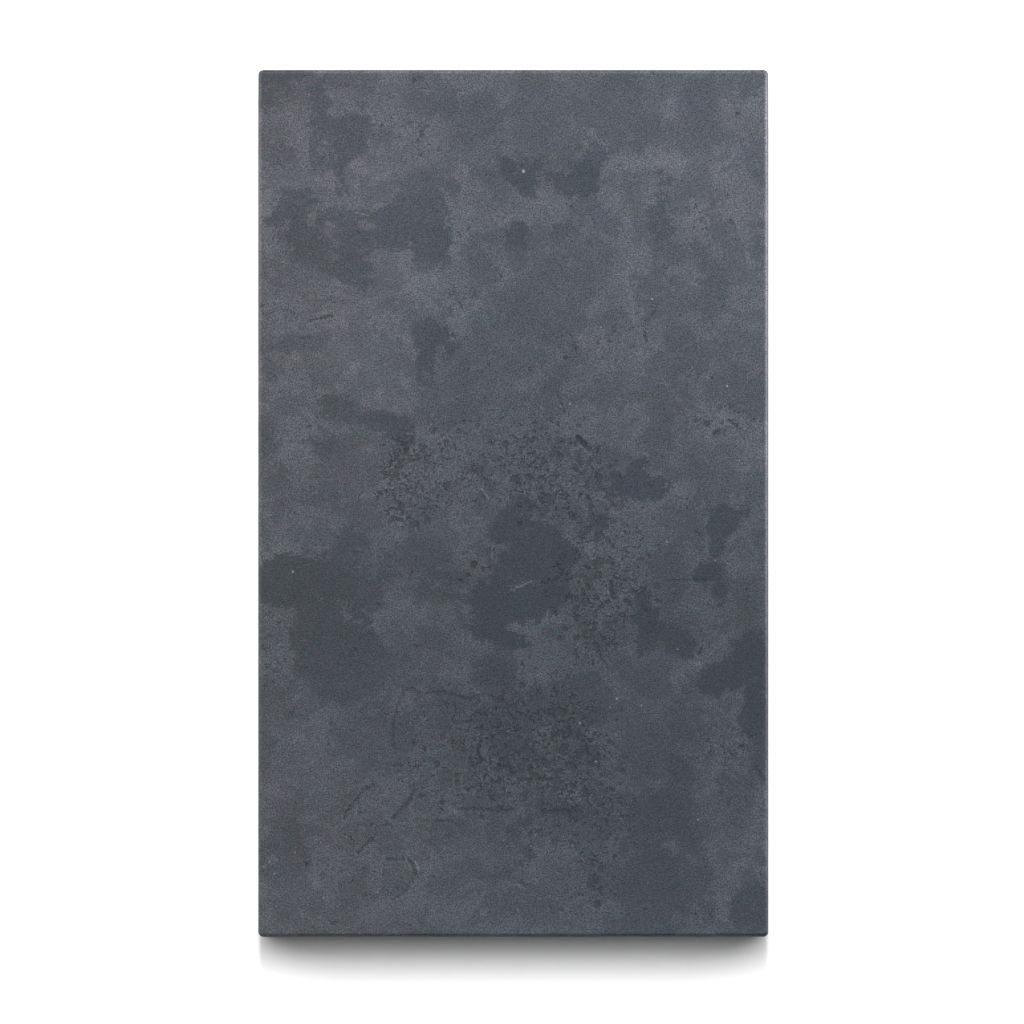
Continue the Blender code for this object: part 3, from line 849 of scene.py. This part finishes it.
    # single grains, light and dark, and each with a tint of its own
    lean = addNode(tree, "ShaderNodeVectorMath",
                   {"operation": "MULTIPLY_ADD", 1: basalt["washLean"], 2: (1, 1, 1)}, {0: field["wash"]})
    strength = addNode(tree, "ShaderNodeMapRange", {"To Min": 1.0, "To Max": basalt["grainInPatch"]},
                       {"Value": patch})
    grain = addNode(tree, "ShaderNodeMath", {"operation": "MULTIPLY"}, {0: centred["grain"], 1: strength})
    grain = addNode(tree, "ShaderNodeVectorMath",
                    {"operation": "MULTIPLY_ADD", 1: basalt["grainSwing"], 2: (1, 1, 1)}, {0: grain})
    everywhere, onPatches, withWash = basalt["tints"]
    amount = addNode(tree, "ShaderNodeMath", {"operation": "MULTIPLY_ADD", 1: onPatches, 2: everywhere},
                     {0: patch})
    amount = addNode(tree, "ShaderNodeMath", {"operation": "MULTIPLY_ADD", 1: withWash},
                     {0: field["wash"], 2: amount})
    tint = addNode(tree, "ShaderNodeTexNoise", {"Scale": 1 / basalt["tintPeriod"], "Detail": 0.0},
                   {"Vector": inMm}, give="Color")
    tint = addNode(tree, "ShaderNodeVectorMath", {"operation": "SUBTRACT", 1: (0.5, 0.5, 0.5)}, {0: tint})
    tint = addNode(tree, "ShaderNodeVectorMath", {"operation": "SCALE"}, {0: tint, "Scale": amount})
    tint = addNode(tree, "ShaderNodeVectorMath", {"operation": "ADD", 1: (1, 1, 1)}, {0: tint})
    for factor in (lean, grain, tint):
        base = addNode(tree, "ShaderNodeVectorMath", {"operation": "MULTIPLY"}, {0: base, 1: factor})

    # the darkest of the marks shows, and the specks lie over them all
    shares = basalt["darkShares"]
    dark = addNode(tree, "ShaderNodeMath", {"operation": "MULTIPLY", 1: shares["pit"]}, {0: pit})
    for name, source in (("worm", worm), ("mark", mark)):
        layer = addNode(tree, "ShaderNodeMath", {"operation": "MULTIPLY", 1: shares[name]}, {0: source})
        dark = addNode(tree, "ShaderNodeMath", {"operation": "MAXIMUM"}, {0: dark, 1: layer})
    inPit = addNode(tree, "ShaderNodeMath", {"operation": "MULTIPLY", 1: basalt["pitColourShare"]}, {0: dark})
    for colour, share in (("pitColour", inPit), ("speckColour", speck)):
        base = addNode(tree, "ShaderNodeMix", {"data_type": "RGBA", 7: linearColour(basalt[colour])},
                       {0: share, 6: base}, give=2)

    roughness = addNode(
        tree, "ShaderNodeMapRange",
        {"To Min": basalt["skinRoughness"], "To Max": basalt["patchRoughness"]}, {"Value": patch})
    glossier = basalt["arrisRoughness"] - basalt["skinRoughness"]
    roughness = addNode(tree, "ShaderNodeMath", {"operation": "MULTIPLY_ADD", 1: glossier},
                        {0: field["arris"], 2: roughness})

    rise = basalt["fineRelief"]
    height = addNode(tree, "ShaderNodeMath", {"operation": "MULTIPLY", 1: rise["grain"]},
                     {0: centred["grain"]})
    for name, source in (("patch", patch), ("dark", dark)):
        height = addNode(tree, "ShaderNodeMath", {"operation": "MULTIPLY_ADD", 1: rise[name]},
                         {0: source, 2: height})
    bump = addNode(tree, "ShaderNodeBump", {"Strength": 1.0, "Distance": mm}, {"Height": height})

    shader = addNode(
        tree, "ShaderNodeBsdfPrincipled",
        {"Metallic": 0.0, "IOR": basalt["ior"]},
        {"Base Color": base, "Roughness": roughness, "Normal": bump})
    addNode(tree, "ShaderNodeOutputMaterial", None, {"Surface": shader})
    return material


slabMesh.materials.append(honedBasalt())
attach(slab, "root")
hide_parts("basalt_stone")
print("basalt finished")


# Lights are area panels. Each of the two overhead ones is an oval that faces straight down, given as
# how far its centre stands towards the far end, and its half widths, each as a share of its height. The
# floor and the stone have lamps of their own in the same places, so the paper is a stop lighter and
# burns out to white.
studio = {
    "floorColour": "#f4f4f4",
    "floorRoughness": 0.9,
    "floorReach": 0.5,         # m each way, within which it is white, as the sky past it is
    "floorGap": 0.02 * mm,     # the floor lies this far under the stone, so that the two never touch
    "world": 0.02,
    "panelHeight": 2.0,
    # name: centre, half widths, watts for the floor, watts for the stone
    "panels": {
        "key": (0.271, (0.03, 0.362), 41.2, 19.6),
        "fill": (0.706, (1.319, 0.585), 101.8, 22.5),
    },
    # name: place, size, watts, for the stone only
    "sideLights": {
        "right light": ((0.57, 0.10, 0.20), (0.20, 0.25), 2.6),
        "left light": ((-0.50, 0.10, 0.30), (0.20, 0.15), 1.0),
    },
}


def makeFloor():
    bm = bmesh.new()
    bmesh.ops.create_grid(bm, x_segments=1, y_segments=1, size=studio["floorReach"])
    mesh = bpy.data.meshes.new("floor")
    bm.to_mesh(mesh)
    bm.free()
    floor = bpy.data.objects.new("floor", mesh)
    floor.location.z = stoneLow.z - studio["floorGap"]
    bpy.context.scene.collection.objects.link(floor)
    material = bpy.data.materials.new("paper, matt white")
    material.use_nodes = True
    shader = material.node_tree.nodes["Principled BSDF"]
    shader.inputs["Base Color"].default_value = linearColour(studio["floorColour"])
    shader.inputs["Roughness"].default_value = studio["floorRoughness"]
    shader.inputs["Specular IOR Level"].default_value = 0.0
    mesh.materials.append(material)
    return floor


def addPanel(name, shape, location, size, watts, lit):
    # an area light that reaches only the one piece it is set for
    data = bpy.data.lights.new(name, "AREA")
    data.shape = shape
    data.size, data.size_y = size
    data.energy = watts
    light = bpy.data.objects.new(name, data)
    light.location = location
    bpy.context.scene.collection.objects.link(light)
    receivers = bpy.data.collections.new(name + " reaches")
    receivers.objects.link(lit)
    light.light_linking.receiver_collection = receivers
    return light


def makeStudio():
    floor = makeFloor()
    scene = bpy.context.scene
    scene.view_settings.view_transform = "Standard"
    world = bpy.data.worlds.new("studio")
    world.use_nodes = True
    tree = world.node_tree
    tree.nodes.clear()
    # white behind everything, but nearly no light of its own
    seen = addNode(tree, "ShaderNodeLightPath", give="Is Camera Ray")
    strength = addNode(tree, "ShaderNodeMapRange", {"To Min": studio["world"], "To Max": 1.0},
                       {"Value": seen})
    sky = addNode(tree, "ShaderNodeBackground", {"Color": (1, 1, 1, 1)}, {"Strength": strength})
    addNode(tree, "ShaderNodeOutputWorld", None, {"Surface": sky})
    scene.world = world
    height = studio["panelHeight"]
    for name, (centre, halfWidths, floorWatts, stoneWatts) in studio["panels"].items():
        size = [2 * share * height for share in halfWidths]
        place = (0, centre * height, height)
        addPanel(name + " for the floor", "ELLIPSE", place, size, floorWatts, floor)
        addPanel(name + " for the stone", "ELLIPSE", place, size, stoneWatts, slab)
    aim = Vector((0, 0, stoneHigh.z))
    for name, (place, size, watts) in studio["sideLights"].items():
        light = addPanel(name, "RECTANGLE", place, size, watts, slab)
        light.rotation_euler = (aim - Vector(place)).to_track_quat("-Z", "Y").to_euler()


makeStudio()
print("studio made")
